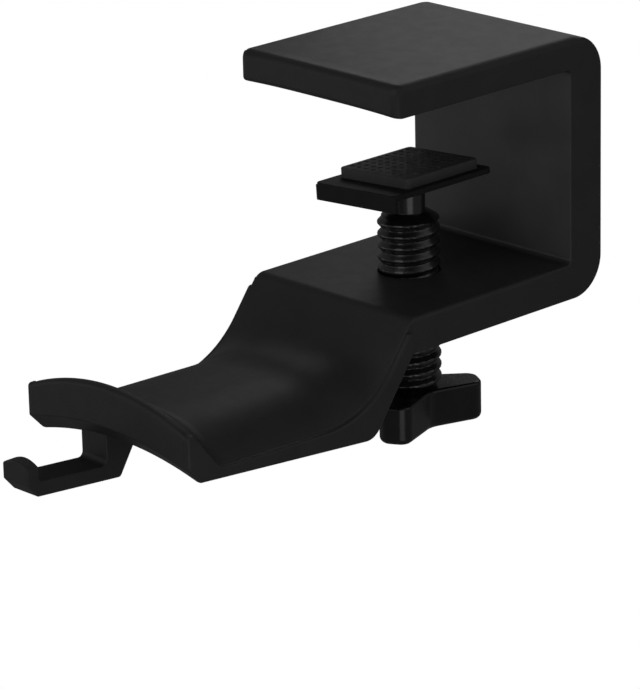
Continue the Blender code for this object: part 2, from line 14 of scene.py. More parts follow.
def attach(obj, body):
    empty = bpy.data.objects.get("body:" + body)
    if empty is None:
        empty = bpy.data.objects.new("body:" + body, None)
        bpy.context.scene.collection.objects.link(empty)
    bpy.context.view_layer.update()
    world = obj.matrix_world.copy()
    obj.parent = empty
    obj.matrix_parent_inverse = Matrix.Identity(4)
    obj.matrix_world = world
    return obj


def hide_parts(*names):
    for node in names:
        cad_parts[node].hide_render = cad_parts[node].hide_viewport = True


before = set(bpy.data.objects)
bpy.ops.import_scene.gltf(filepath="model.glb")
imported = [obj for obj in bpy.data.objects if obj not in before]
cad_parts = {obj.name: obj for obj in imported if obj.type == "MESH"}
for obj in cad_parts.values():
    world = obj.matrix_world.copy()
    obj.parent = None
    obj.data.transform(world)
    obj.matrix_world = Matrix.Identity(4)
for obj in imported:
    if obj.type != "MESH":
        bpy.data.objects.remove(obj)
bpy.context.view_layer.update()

# The camera: where it looks, where it stands, and its lens.
AIM = Vector((-0.018, 0, -0.0368))
AZIMUTH = math.radians(-43.748)
ELEVATION = math.radians(19.062)
ROLL = math.radians(-1.27)
DISTANCE = 0.73194
SHIFT_RIGHT = -0.003396
SHIFT_UP = -0.009361
LENS = 212.4
CLIP_END = 60

# Bracket, a side outline in X and Z swept across its width, with the frame's own dimensions. Outline
# corners are written as (x, y or z, radius, steps).
HALF_WIDTH = 0.020
JAW_END_X = -0.0225
JAW_THICKNESS = 0.0059
JAW_OPENING = 0.0368
WALL_INNER_X = 0.022
WALL_OUTER_X = 0.0302
ARM_THICKNESS = 0.0068
ARM_TOP_Z = -JAW_OPENING
ARM_BOTTOM_Z = ARM_TOP_Z - ARM_THICKNESS
OUTER_CORNER_RADIUS = 0.0072
CREASE_X = -0.0194
SLOPE_FOOT = (-0.0311, -0.0524)
TRAY_FRONT = (-0.0668, -0.0514)
LIP_INNER_X = -0.0726
LIP_FRONT_X = -0.0743
LIP_TOP_Z = -0.0441
LIP_FACE_BOTTOM_Z = -0.0502
LIP_BOTTOM = (-0.0714, -0.0532)
TRAY_BACK_BOTTOM = (-0.02985, -0.0567)
BEND_UNDERSIDE_X = -0.0202
SADDLE_START_X = -0.0195
SADDLE_FULL_X = -0.036
TRAY_ARCH = 0.0063
LIP_ARCH = 0.0040
UNDERSIDE_ARCH = 0.0027
TRAY_ARCH_POWER = 3
PLAIN_ARCH_POWER = 2
SLOPE_HALF_WALL = 0.0026
ON_TOP_MARGIN = 0.0008
NEAR_TOP = 0.0005
JAW_TOP_EDGE = 0.0014
JAW_END_CORNER = 0.0018
JAW_END_BLEND = 0.0060
JAW_END_LOWEST_Z = -0.001
LIP_TOP_EDGE = 0.0010
LIP_EDGE_BACK = 0.0010
LIP_EDGE_DROP = 0.0015
ARM_TOP_EDGE = 0.0009
ARM_EDGE_MARGIN = 0.001
RIM_WIDTH = 0.0009
RIM_ROOT = 0.0015
RIM_ROOT_SHARES = (1, 0.5, 0)
RIM_START_DROP = 0.0003
RIM_START_RADIUS = 0.0008
RIM_INSET = 0.00005
RIM_EDGE = 0.0005
RIM_EDGE_STEPS = 5
ARM_EDGE_TAPER = 0.012
PLAIN_EDGE = 0.0003
LONGEST_STEP = 0.0012
LAST_STATION = 0.0018
EDGE_STATION_COUNT = 16
EDGE_STATION_POWER = 2.2
ARCH_STRIPS = 30
WALL_FACE_REACH = 0.0001
WALL_FACE_TURN = -0.9

# Cable hook, moulded under the lip.
CABLE_HOOK_Y = 0.0066
CABLE_HOOK_WIDTH = 0.0066
CABLE_HOOK_ARCH = 0.0010
CABLE_HOOK_STRIPS = 12
CABLE_HOOK_EDGE = 0.00025
CABLE_HOOK_EDGE_STEPS = 4
CABLE_POST_FRONT_X = -0.0716
CABLE_POST_TOP_Z = -0.0493
SHELF_TOP_BACK_Z = -0.0559
SHELF_TOP_FRONT_Z = -0.0546
TIP_INNER_X = -0.0869
TIP_FRONT_X = -0.0895
TIP_TOP_Z = -0.0520
TIP_CHAMFER_Z = -0.0549
TIP_ARCH_REACH = 0.0002
SHELF_BOTTOM_FRONT = (-0.0873, -0.0574)
SHELF_BOTTOM_BACK = (-0.0685, -0.0590)
CABLE_POST_BACK = (-0.0630, -0.0502)

# Clamp screw and its thread.
PITCH = 0.0022
THREAD_OUTER = 0.00576
THREAD_ROOT = 0.00500
CREST_SHARE = 0.16
ROOT_SHARE = 0.07
THREAD_PHASE = 0.395
CREST_ROUNDING = 0.00008
THREAD_TOP_Z = -0.0256
THREAD_BOTTOM_Z = -0.0584
THREAD_SIDES = 72
ROWS_PER_PITCH = 18
ROW_MARGIN = 0.2
THREAD_CLEARANCE = 0.0004
THREAD_END_HEIGHT = 0.00005
LEAD_IN_STEP = 0.0010
LEAD_IN_SLOPE = 1.6
NECK_FOOT_WIDTH = 0.0006
NECK_FOOT_HEIGHT = 0.0001
NECK_EDGE = 0.0002
NECK_RADIUS = 0.0031
NECK_TOP_Z = -0.0217
SPIGOT_RADIUS = 0.0015
SPIGOT_TOP_Z = -0.01957
SHANK_RADIUS = 0.0034
SHANK_BOTTOM_Z = -0.0620

# Pressure plate and grip pad, tilted together on the neck.
PLATE_TILT = math.radians(-3.9)
PLATE_PIVOT_Z = -0.02005
PLATE_TOP = 0.00163
PLATE_THICKNESS = 0.0011
PLATE_FRONT_X = -0.0136
PLATE_BACK_X = 0.0116
PLATE_HALF_WIDTH = 0.0103
PLATE_CORNER = 0.0012
PLATE_EDGE = 0.0002
JOIN_DEPTH = 0.0004
DISH_DEPTH = 0.00118
DISH_RADIUS = 0.0029
DISH_WALL = 0.0008
DISH_FLOOR = 0.0009
PLATE_HOLE_RADIUS = 0.0020
FLANGE_HEIGHT = 0.0033
FLANGE_THICKNESS = 0.0011
FLANGE_HALF_WIDTH = 0.0101
FLANGE_CORNER = 0.0003
PAD_GAP = 0.0003
PAD_THICKNESS = 0.0016
PAD_LENGTH = 0.0183
PAD_WIDTH = 0.0176
PAD_CORNER = 0.0009
PAD_EDGE = 0.0003
PAD_CENTRE_X = 0.00050
PAD_POCKET_RADIUS = 0.0030
PAD_POCKET_DEPTH = 0.0008
DIMPLE_PITCH = 0.0018
DIMPLES_ACROSS = 9
DIMPLE_MOUTH_REACH = 0.000792
DIMPLE_MOUTH_HEIGHT = 0.0002
DIMPLE_FLOOR_REACH = 0.00030
DIMPLE_DEPTH = 0.00045

# Small screws and washers.
SMALL_SHAFT_RADIUS = 0.00075
HEAD_RADIUS = 0.0024
HEAD_HEIGHT = 0.0009
RETAINING_HEAD_Z = -0.01857
RETAINING_LENGTH = 0.0070
KNOB_HEAD_RADIUS = 0.0028
KNOB_HEAD_HEIGHT = 0.0014
KNOB_SCREW_Z = -0.0642
KNOB_SCREW_LENGTH = 0.0084
WASHER_BEVEL = 0.00008

# Pan heads and driver recesses of the small screws, as shares of the head's radius and height.
HEAD_RIM_SHARE = 0.45
HEAD_DOME_SHARE = 0.55
HEAD_DOME_STEPS = 8
RECESS_ARM_SHARE = 0.52
RECESS_HALF_SHARE = 0.13
RECESS_TOP_SHARE = 1.2
RECESS_FLOOR_SHARE = 0.30
RECESS_NARROWING = 0.55

# Knob.
KNOB_TOP_Z = -0.0590
KNOB_HEIGHT = 0.0075
KNOB_LOBES = 3
KNOB_TURN = math.radians(-29.5)
LOBE_REACH = 0.0132
LOBE_TIP_HALF = 0.00275
LOBE_TIP_RADIUS = 0.0024
VALLEY_REACH = 0.0056
VALLEY_RADIUS = 0.0045
KNOB_BOTTOM_EDGE = 0.0012
KNOB_TOP_EDGE = 0.0006
KNOB_BORE_RADIUS = 0.0037
KNOB_BORE_BOTTOM_Z = -0.0623
KNOB_FLOOR_BOTTOM_Z = -0.0639
KNOB_SCREW_HOLE = 0.0014
KNOB_RECESS_RADIUS = 0.0032
KNOB_RECESS_EDGE = 0.0002
KNOB_RECESS_FLARE = 0.0012
KNOB_EDGE_STEPS = 6

# For all pieces: how far a cutting tool reaches past the face it opens, and how finely curves are drawn.
CUT_PAST = 0.001
ARM_THREAD_PAST = 0.002
ROUND_SIDES = 64
SMOOTH_ANGLE = math.radians(32)

# Wear on the edges of moulded pieces.
WEAR_RADIUS = 0.0004
WEAR_SMOOTHING = -0.10

# Stage.
FLOOR_Z = -0.9
BACKDROP_RADIUS = 9
BACKDROP_FLAT_SHARE = 0.8
BACKDROP_CURVE_SHARE = 0.2
BACKDROP_CURVE_HEIGHT = 2
BACKDROP_STEPS = 12
BACKDROP_SIDES = 48
WORLD_STRENGTH = 0.10


# ---------------------------------------------------------------- mesh tools


def new_object(name, mesh):
    obj = bpy.data.objects.new(name, mesh)
    bpy.context.scene.collection.objects.link(obj)
    return obj


def mesh_from(name, points, faces):
    """A mesh with its normals facing out."""
    mesh = bpy.data.meshes.new(name)
    mesh.from_pydata(points, [], faces)
    work = bmesh.new()
    work.from_mesh(mesh)
    bmesh.ops.recalc_face_normals(work, faces=work.faces)
    work.to_mesh(mesh)
    work.free()
    return mesh


def boolean(obj, other, operation):
    modifier = obj.modifiers.new(other.name, "BOOLEAN")
    modifier.object = other
    modifier.operation = operation
    modifier.solver = "EXACT"


def settle(obj, tools=()):
    """Turns the object's modifiers into mesh, removes the tools they used, and shades the result."""
    graph = bpy.context.evaluated_depsgraph_get()
    mesh = bpy.data.meshes.new_from_object(obj.evaluated_get(graph))
    obj.modifiers.clear()
    obj.data = mesh
    for tool in tools:
        bpy.data.objects.remove(tool)
    mesh.shade_smooth()
    mesh.set_sharp_from_angle(angle=SMOOTH_ANGLE)
    weighted = obj.modifiers.new("weighted_normals", "WEIGHTED_NORMAL")
    weighted.keep_sharp = True


def prism_mesh(name, points, count):
    """A closed tube through equal rings of points, with its two ends filled."""
    rings = len(points) // count
    faces = [tuple(range(count)), tuple(reversed(range(len(points) - count, len(points))))]
    for ring in range(rings - 1):
        for column in range(count):
            following = (column + 1) % count
            low = ring * count
            faces.append((low + column, low + following, low + count + following, low + count + column))
    return mesh_from(name, points, faces)


def rounded_outline(corners):
    """Points of a closed outline whose corners (x, y, radius, steps) are turned into arcs."""
    points = []
    for index, (x, y, radius, steps) in enumerate(corners):
        here = Vector((x, y))
        if radius == 0:
            points.append(here)
            continue
        back = (Vector(corners[index - 1][:2]) - here).normalized()
        ahead = (Vector(corners[(index + 1) % len(corners)][:2]) - here).normalized()
        half = back.angle(ahead) / 2
        centre = here + (back + ahead).normalized() * (radius / math.sin(half))
        first = here + back * (radius / math.tan(half)) - centre
        last = here + ahead * (radius / math.tan(half)) - centre
        turn = first.angle_signed(last)
        for step in range(steps + 1):
            points.append(centre + first @ Matrix.Rotation(turn * step / steps, 2))
    return points


def subdivided(outline, longest):
    """The outline with extra points wherever two of its points are further apart than longest."""
    points = []
    for index, here in enumerate(outline):
        ahead = outline[(index + 1) % len(outline)]
        parts = max(1, math.ceil((ahead - here).length / longest))
        points += [here.lerp(ahead, part / parts) for part in range(parts)]
    return points


def inset_directions(outline):
    """For each point of a closed outline, the vector that moves it 1 unit into the area."""
    area = sum(a.x * b.y - b.x * a.y for a, b in zip(outline, outline[1:] + outline[:1]))
    side = 1 if area > 0 else -1
    moves = []
    for index, here in enumerate(outline):
        before = (here - outline[index - 1]).normalized()
        after = (outline[(index + 1) % len(outline)] - here).normalized()
        normals = [Vector((-way.y, way.x)) * side for way in (before, after)]
        middle = (normals[0] + normals[1]).normalized()
        moves.append(middle / max(0.5, middle.dot(normals[0])))
    return moves


def edge_levels(low_z, high_z, low_edge, high_edge, steps=5):
    """Levels (z, inset) from the bottom to the top of a slab with quarter-round edges."""
    turns = [math.pi / 2 * step / steps for step in range(steps + 1)]
    levels = [(low_z, 0)]
    if low_edge:
        levels = [
            (low_z + low_edge * (1 - math.cos(turn)), low_edge * (1 - math.sin(turn))) for turn in turns
        ]
    if not high_edge:
        return levels + [(high_z, 0)]
    return levels + [
        (high_z - high_edge * (1 - math.sin(turn)), high_edge * (1 - math.cos(turn))) for turn in turns
    ]


def slab_mesh(name, outline, levels):
    """A block with that plan outline; each level gives a height and how far the outline is drawn in."""
    moves = inset_directions(outline)
    points = []
    for z, inset in levels:
        for point, move in zip(outline, moves):
            moved = point + move * inset
            points.append((moved.x, moved.y, z))
    return prism_mesh(name, points, len(outline))


def box_outline(low, high, corner, steps=8):
    return rounded_outline(
        [
            (low[0], low[1], corner, steps),
            (high[0], low[1], corner, steps),
            (high[0], high[1], corner, steps),
            (low[0], high[1], corner, steps),
        ]
    )


def turned_mesh(name, profile, sides):
    """A closed profile of (radius, z) turned about Z. A point on the axis becomes one vertex."""
    points = []
    rings = []
    for radius, z in profile:
        if radius == 0:
            rings.append([len(points)] * sides)
            points.append((0, 0, z))
            continue
        rings.append(list(range(len(points), len(points) + sides)))
        for side in range(sides):
            angle = 2 * math.pi * side / sides
            points.append((radius * math.cos(angle), radius * math.sin(angle), z))
    faces = []
    for index, ring in enumerate(rings):
        following = rings[(index + 1) % len(rings)]
        for side in range(sides):
            turned = (side + 1) % sides
            corners = [ring[side], ring[turned], following[turned], following[side]]
            corners = list(dict.fromkeys(corners))
            if len(corners) > 2:
                faces.append(tuple(corners))
    return mesh_from(name, points, faces)


def smooth_step(value):
    value = min(1.0, max(0.0, value))
    return value * value * (3 - 2 * value)


# ---------------------------------------------------------------- bracket


def saddle_corners():
    """Side outline from the arm's crease over the saddle and the lip, and back under it to the arm."""
    return [
        (CREASE_X, ARM_TOP_Z, 0.0022, 10),
        (*SLOPE_FOOT, 0.0200, 26),
        (*TRAY_FRONT, 0.0040, 16),
        (LIP_INNER_X, LIP_TOP_Z, 0.0008, 8),
        (LIP_FRONT_X, LIP_TOP_Z, 0.0008, 8),
        (LIP_FRONT_X, LIP_FACE_BOTTOM_Z, 0.0006, 5),
        (*LIP_BOTTOM, 0.0006, 5),
        (*TRAY_BACK_BOTTOM, 0.0038, 14),
        (BEND_UNDERSIDE_X, ARM_BOTTOM_Z, 0.0015, 8),
    ]


def bracket_outline():
    corners = [
        (JAW_END_X, 0, 0.0008, 6),
        (WALL_INNER_X, 0, 0.0010, 6),
        (WALL_INNER_X, ARM_TOP_Z, 0.0010, 8),
        *saddle_corners(),
        (WALL_OUTER_X, ARM_BOTTOM_Z, OUTER_CORNER_RADIUS, 24),
        (WALL_OUTER_X, JAW_THICKNESS, OUTER_CORNER_RADIUS, 24),
        (JAW_END_X, JAW_THICKNESS, 0.0018, 10),
    ]
    return subdivided(rounded_outline(corners), LONGEST_STEP)


def underside_height(x):
    """Height of the tray's underside at x, along the side edge."""
    share = (x - LIP_BOTTOM[0]) / (TRAY_BACK_BOTTOM[0] - LIP_BOTTOM[0])
    return LIP_BOTTOM[1] + (TRAY_BACK_BOTTOM[1] - LIP_BOTTOM[1]) * share


def slope_middle(x):
    """Height of the middle of the S-bend's wall at x."""
    fall = (x - CREASE_X) / (SLOPE_FOOT[0] - CREASE_X)
    return ARM_TOP_Z + (SLOPE_FOOT[1] - ARM_TOP_Z) * fall - SLOPE_HALF_WALL


def is_on_top(x, z):
    return z > max(underside_height(x), slope_middle(x)) + ON_TOP_MARGIN


def lip_share(x, z):
    """0 on the tray and the slope, growing to 1 at the lip's top."""
    if x > SADDLE_FULL_X:
        return 0
    return smooth_step((z - TRAY_FRONT[1]) / (LIP_TOP_Z - TRAY_FRONT[1]))


def arch_rise(x, z):
    """How far the saddle's middle stands above its side edge, at a point of the side outline."""
    grown = smooth_step((SADDLE_START_X - x) / (SADDLE_START_X - SADDLE_FULL_X))
    top = TRAY_ARCH + (LIP_ARCH - TRAY_ARCH) * lip_share(x, z)
    if x < LIP_BOTTOM[0]:
        share = (z - LIP_FACE_BOTTOM_Z) / (LIP_TOP_Z - LIP_FACE_BOTTOM_Z)
        return UNDERSIDE_ARCH + (top - UNDERSIDE_ARCH) * min(1.0, max(0.0, share))
    return grown * (top if is_on_top(x, z) else UNDERSIDE_ARCH)


def arch_height(x, z, y):
    """How far the arch lifts a point of the side outline at y. The tray's arch has a flatter middle."""
    power = PLAIN_ARCH_POWER
    if x > LIP_INNER_X and is_on_top(x, z):
        power = TRAY_ARCH_POWER + (PLAIN_ARCH_POWER - TRAY_ARCH_POWER) * lip_share(x, z)
    return arch_rise(x, z) * (1 - min(1.0, abs(y) / HALF_WIDTH) ** power)


def edge_radii(x, z):
    """The side edges' radii along X and Z at a point of the side outline."""
    if z > JAW_THICKNESS - NEAR_TOP:
        return (JAW_TOP_EDGE, JAW_TOP_EDGE)
    if x < LIP_INNER_X + LIP_EDGE_BACK and z > LIP_TOP_Z - LIP_EDGE_DROP:
        return (PLAIN_EDGE, LIP_TOP_EDGE)
    edge_end_x = WALL_INNER_X - ARM_EDGE_MARGIN
    if CREASE_X - ARM_EDGE_MARGIN <= x < edge_end_x and abs(z - ARM_TOP_Z) < ON_TOP_MARGIN:
        fading = smooth_step((edge_end_x - x) / ARM_EDGE_TAPER)
        return (PLAIN_EDGE, PLAIN_EDGE + (ARM_TOP_EDGE - PLAIN_EDGE) * fading)
    return (PLAIN_EDGE, PLAIN_EDGE)


def rounded_off(radius, y):
    """How far a side edge of that radius has turned in at y."""
    past = abs(y) - (HALF_WIDTH - radius)
    if past <= 0:
        return 0
    return radius - math.sqrt(max(0, radius * radius - past * past))


def jaw_end_shift(x, z, y):
    """How far the jaw's free end is drawn back near its two upright corners."""
    if z < JAW_END_LOWEST_Z:
        return 0
    return rounded_off(JAW_END_CORNER, y) * max(0, 1 - (x - JAW_END_X) / JAW_END_BLEND)


def bracket_point(point, move, y):
    along_x, along_z = edge_radii(point.x, point.y)
    x = point.x + move.x * rounded_off(along_x, y) + jaw_end_shift(point.x, point.y, y)
    z = point.y + move.y * rounded_off(along_z, y)
    return (x, y, z + arch_height(point.x, point.y, y))


def bracket_mesh():
    outline = bracket_outline()
    moves = inset_directions(outline)
    shares = [(step / EDGE_STATION_COUNT) ** EDGE_STATION_POWER for step in range(EDGE_STATION_COUNT + 1)]
    edge = [HALF_WIDTH - LAST_STATION * share for share in shares]
    inner = [edge[-1] * (1 - 2 * strip / ARCH_STRIPS) for strip in range(1, ARCH_STRIPS)]
    points = []
    for y in edge + inner + [-y for y in reversed(edge)]:
        points += [bracket_point(point, move, y) for point, move in zip(outline, moves)]
    return prism_mesh("bracket_moulding", points, len(outline))


def saddle_rim_mesh(name, side):
    """The flat rim along one side of the saddle and the lip, which stands out past the arm's side."""
    corners = [(CREASE_X, ARM_TOP_Z - RIM_START_DROP, RIM_START_RADIUS, RIM_EDGE_STEPS)]
    corners += saddle_corners()[1:-1]
    corners += [(BEND_UNDERSIDE_X, ARM_BOTTOM_Z, 0, 0)]
    outline = rounded_outline(corners)
    moves = inset_directions(outline)
    outer = HALF_WIDTH + RIM_WIDTH
    levels = [(HALF_WIDTH - RIM_ROOT * share, RIM_INSET) for share in RIM_ROOT_SHARES]
    for step in range(RIM_EDGE_STEPS + 1):
        turn = math.pi / 2 * step / RIM_EDGE_STEPS
        y = outer - RIM_EDGE * (1 - math.sin(turn))
        levels.append((y, RIM_INSET + RIM_EDGE * (1 - math.cos(turn))))
    points = []
    for y, inset in levels:
        for point, move in zip(outline, moves):
            z = point.y + move.y * inset + arch_height(point.x, point.y, y)
            points.append((point.x + move.x * inset, y * side, z))
    return prism_mesh(name, points, len(outline))


def cable_hook_mesh():
    corners = [
        (CABLE_POST_FRONT_X, CABLE_POST_TOP_Z, 0, 0),
        (CABLE_POST_FRONT_X, SHELF_TOP_BACK_Z, 0.0010, 6),
        (TIP_INNER_X, SHELF_TOP_FRONT_Z, 0.0007, 5),
        (TIP_INNER_X, TIP_TOP_Z, 0.0003, 3),
        (TIP_FRONT_X, TIP_TOP_Z, 0.0003, 3),
        (TIP_FRONT_X, TIP_CHAMFER_Z, 0.0005, 4),
        (*SHELF_BOTTOM_FRONT, 0.0005, 4),
        (*SHELF_BOTTOM_BACK, 0.0008, 5),
        (*CABLE_POST_BACK, 0, 0),
    ]
    outline = rounded_outline(corners)
    moves = inset_directions(outline)
    edge_share = CABLE_HOOK_EDGE * 2 / CABLE_HOOK_WIDTH
    sides = []
    for step in reversed(range(CABLE_HOOK_EDGE_STEPS + 1)):
        turn = math.pi / 2 * step / CABLE_HOOK_EDGE_STEPS
        sides.append((1 - edge_share * (1 - math.sin(turn)), CABLE_HOOK_EDGE * (1 - math.cos(turn))))
    flat = sides[-1][0]
    inner = [(flat * (1 - 2 * strip / CABLE_HOOK_STRIPS), 0) for strip in range(1, CABLE_HOOK_STRIPS)]
    stations = sides + inner + [(-share, inset) for share, inset in reversed(sides)]
    points = []
    for share, inset in stations:
        y = CABLE_HOOK_Y + share * CABLE_HOOK_WIDTH / 2
        for point, move in zip(outline, moves):
            at_tip = point.y > TIP_TOP_Z - NEAR_TOP and point.x < TIP_INNER_X + TIP_ARCH_REACH
            rise = CABLE_HOOK_ARCH * (1 - share * share) if at_tip else 0
            points.append((point.x + move.x * inset, y, point.y + move.y * inset + rise))
    return prism_mesh("cable_hook", points, len(outline))


# ---------------------------------------------------------------- screw


def thread_radius(phase):
    """Radius at a share of the pitch: rounded root, slanted flank, rounded crest, slanted flank."""
    flank = (1 - CREST_SHARE - ROOT_SHARE) / 2
    phase %= 1.0
    depth = THREAD_OUTER - THREAD_ROOT
    if phase < ROOT_SHARE:
        return THREAD_ROOT
    if phase < ROOT_SHARE + flank:
        return THREAD_ROOT + depth * (phase - ROOT_SHARE) / flank
    if phase < ROOT_SHARE + flank + CREST_SHARE:
        across = (phase - ROOT_SHARE - flank) / CREST_SHARE * 2 - 1
        return THREAD_OUTER - CREST_ROUNDING * across * across
    return THREAD_OUTER - depth * (phase - ROOT_SHARE - flank - CREST_SHARE) / flank


def thread_ring(z, extra, most):
    ring = []
    for side in range(THREAD_SIDES):
        angle = 2 * math.pi * side / THREAD_SIDES
        radius = min(most, thread_radius(z / PITCH + THREAD_PHASE - side / THREAD_SIDES) + extra)
        ring.append((radius * math.cos(angle), radius * math.sin(angle), z))
    return ring


def round_ring(radius, z):
    ring = []
    for side in range(THREAD_SIDES):
        angle = 2 * math.pi * side / THREAD_SIDES
        ring.append((radius * math.cos(angle), radius * math.sin(angle), z))
    return ring


def thread_rows(low_z, high_z):
    step = PITCH / ROWS_PER_PITCH
    first = math.ceil(low_z / step + ROW_MARGIN)
    last = math.floor(high_z / step - ROW_MARGIN)
    return [row * step for row in range(first, last + 1)]


def clamp_screw_mesh():
    rings = [
        round_ring(SHANK_RADIUS, SHANK_BOTTOM_Z),
        round_ring(SHANK_RADIUS, THREAD_BOTTOM_Z),
        round_ring(THREAD_ROOT, THREAD_BOTTOM_Z + THREAD_END_HEIGHT),
    ]
    for z in thread_rows(THREAD_BOTTOM_Z, THREAD_TOP_Z):
        most = NECK_RADIUS + LEAD_IN_STEP + (THREAD_TOP_Z - z) * LEAD_IN_SLOPE
        rings.append(thread_ring(z, 0, min(most, THREAD_OUTER)))
    rings += [
        round_ring(NECK_RADIUS + LEAD_IN_STEP, THREAD_TOP_Z),
        round_ring(NECK_RADIUS + NECK_FOOT_WIDTH, THREAD_TOP_Z + NECK_FOOT_HEIGHT),
        round_ring(NECK_RADIUS, THREAD_TOP_Z + NECK_EDGE),
        round_ring(NECK_RADIUS, NECK_TOP_Z - NECK_EDGE),
        round_ring(NECK_RADIUS - NECK_EDGE, NECK_TOP_Z),
        round_ring(SPIGOT_RADIUS, NECK_TOP_Z),
        round_ring(SPIGOT_RADIUS, SPIGOT_TOP_Z),
    ]
    points = [point for ring in rings for point in ring]
    return prism_mesh("screw_moulding", points, THREAD_SIDES)


def thread_cutter_mesh():
    top = ARM_TOP_Z + ARM_THREAD_PAST
    bottom = ARM_BOTTOM_Z - ARM_THREAD_PAST
    rings = [thread_ring(z, THREAD_CLEARANCE, 1.0) for z in thread_rows(bottom, top)]
    points = [point for ring in rings for point in ring]
    return prism_mesh("arm_thread", points, THREAD_SIDES)


# ---------------------------------------------------------------- knob


def knob_outline():
    corners = []
    for lobe in range(KNOB_LOBES):
        turn = 2 * math.pi * lobe / KNOB_LOBES
        half = math.pi / KNOB_LOBES
        for x, y, radius, steps in (
            (LOBE_REACH, -LOBE_TIP_HALF, LOBE_TIP_RADIUS, 12),
            (LOBE_REACH, LOBE_TIP_HALF, LOBE_TIP_RADIUS, 12),
            (VALLEY_REACH * math.cos(half), VALLEY_REACH * math.sin(half), VALLEY_RADIUS, 16),
        ):
            corners.append(
                (
                    x * math.cos(turn) - y * math.sin(turn),
                    x * math.sin(turn) + y * math.cos(turn),
                    radius,
                    steps,
                )
            )
    return rounded_outline(corners)


def knob_bore_mesh():
    """Socket for the screw's shank from above, screw hole, and the recess for the screw's head."""
    profile = [
        (0, CUT_PAST),
        (KNOB_BORE_RADIUS, CUT_PAST),
        (KNOB_BORE_RADIUS, KNOB_BORE_BOTTOM_Z - KNOB_TOP_Z),
        (KNOB_SCREW_HOLE, KNOB_BORE_BOTTOM_Z - KNOB_TOP_Z),
        (KNOB_SCREW_HOLE, KNOB_FLOOR_BOTTOM_Z - KNOB_TOP_Z),
        (KNOB_RECESS_RADIUS, KNOB_FLOOR_BOTTOM_Z - KNOB_TOP_Z),
        (KNOB_RECESS_RADIUS, -KNOB_HEIGHT + KNOB_RECESS_EDGE),
        (KNOB_RECESS_RADIUS + KNOB_RECESS_FLARE, -KNOB_HEIGHT - CUT_PAST),
        (0, -KNOB_HEIGHT - CUT_PAST),
    ]
    return turned_mesh("knob_bore", profile, ROUND_SIDES)


# ---------------------------------------------------------------- plate and pad


def plate_mesh():
    low = (PLATE_FRONT_X, -PLATE_HALF_WIDTH)
    high = (PLATE_BACK_X, PLATE_HALF_WIDTH)
    outline = box_outline(low, high, PLATE_CORNER)
    levels = edge_levels(PLATE_TOP - PLATE_THICKNESS, PLATE_TOP, PLATE_EDGE, PLATE_EDGE)
    return slab_mesh("plate_moulding", outline, levels)


def flange_mesh():
    low = (PLATE_FRONT_X, -FLANGE_HALF_WIDTH)
    high = (PLATE_FRONT_X + FLANGE_THICKNESS, FLANGE_HALF_WIDTH)
    outline = box_outline(low, high, FLANGE_CORNER, 4)
    levels = edge_levels(PLATE_TOP - FLANGE_HEIGHT, PLATE_TOP - JOIN_DEPTH, PLATE_EDGE, 0)
    return slab_mesh("plate_flange", outline, levels)


def dish_mesh():
    bottom = PLATE_TOP - DISH_DEPTH - DISH_FLOOR
    outer = DISH_RADIUS + DISH_WALL
    profile = [
        (0, bottom),
        (outer - PLATE_EDGE, bottom),
        (outer, bottom + PLATE_EDGE),
        (outer, PLATE_TOP - JOIN_DEPTH),
        (0, PLATE_TOP - JOIN_DEPTH),
    ]
    return turned_mesh("plate_dish", profile, ROUND_SIDES)


def dish_cut_mesh():
    floor = PLATE_TOP - DISH_DEPTH
    profile = [
        (0, PLATE_TOP + CUT_PAST),
        (DISH_RADIUS, PLATE_TOP + CUT_PAST),
        (DISH_RADIUS, floor),
        (PLATE_HOLE_RADIUS, floor),
        (PLATE_HOLE_RADIUS, floor - DISH_FLOOR - CUT_PAST),
        (0, floor - DISH_FLOOR - CUT_PAST),
    ]
    return turned_mesh("plate_hole", profile, ROUND_SIDES)


def pad_mesh():
    """The pad, bonded to the plate, so that it fills the frame's gap between the two."""
    low = (PAD_CENTRE_X - PAD_LENGTH / 2, -PAD_WIDTH / 2)
    high = (PAD_CENTRE_X + PAD_LENGTH / 2, PAD_WIDTH / 2)
    outline = box_outline(low, high, PAD_CORNER)
    levels = edge_levels(PLATE_TOP, PLATE_TOP + PAD_GAP + PAD_THICKNESS, 0, PAD_EDGE)
    return slab_mesh("pad_moulding", outline, levels)


def pad_pocket_mesh():
    bottom = PLATE_TOP + PAD_GAP
    profile = [
        (0, bottom + PAD_POCKET_DEPTH),
        (PAD_POCKET_RADIUS, bottom + PAD_POCKET_DEPTH),
        (PAD_POCKET_RADIUS, bottom - CUT_PAST),
        (0, bottom - CUT_PAST),
    ]
    return turned_mesh("pad_pocket", profile, ROUND_SIDES)


def dimples_mesh():
    """The diamond dimples of the pad's top, as one mesh of separate upside-down pyramids."""
    top = PLATE_TOP + PAD_GAP + PAD_THICKNESS
    levels = ((top + DIMPLE_MOUTH_HEIGHT, DIMPLE_MOUTH_REACH), (top - DIMPLE_DEPTH, DIMPLE_FLOOR_REACH))
    middle = (DIMPLES_ACROSS - 1) / 2
    points = []
    faces = []
    for row in range(DIMPLES_ACROSS):
        for column in range(DIMPLES_ACROSS):
            x = PAD_CENTRE_X + (column - middle) * DIMPLE_PITCH
            y = (row - middle) * DIMPLE_PITCH
            first = len(points)
            for z, reach in levels:
                points += [(x + reach, y, z), (x, y + reach, z), (x - reach, y, z), (x, y - reach, z)]
            faces.append(tuple(range(first, first + 4)))
            faces.append(tuple(range(first + 4, first + 8)))
            for side in range(4):
                turned = (side + 1) % 4
                faces.append((first + side, first + turned, first + 4 + turned, first + 4 + side))
    return mesh_from("dimples", points, faces)


# ---------------------------------------------------------------- small screws


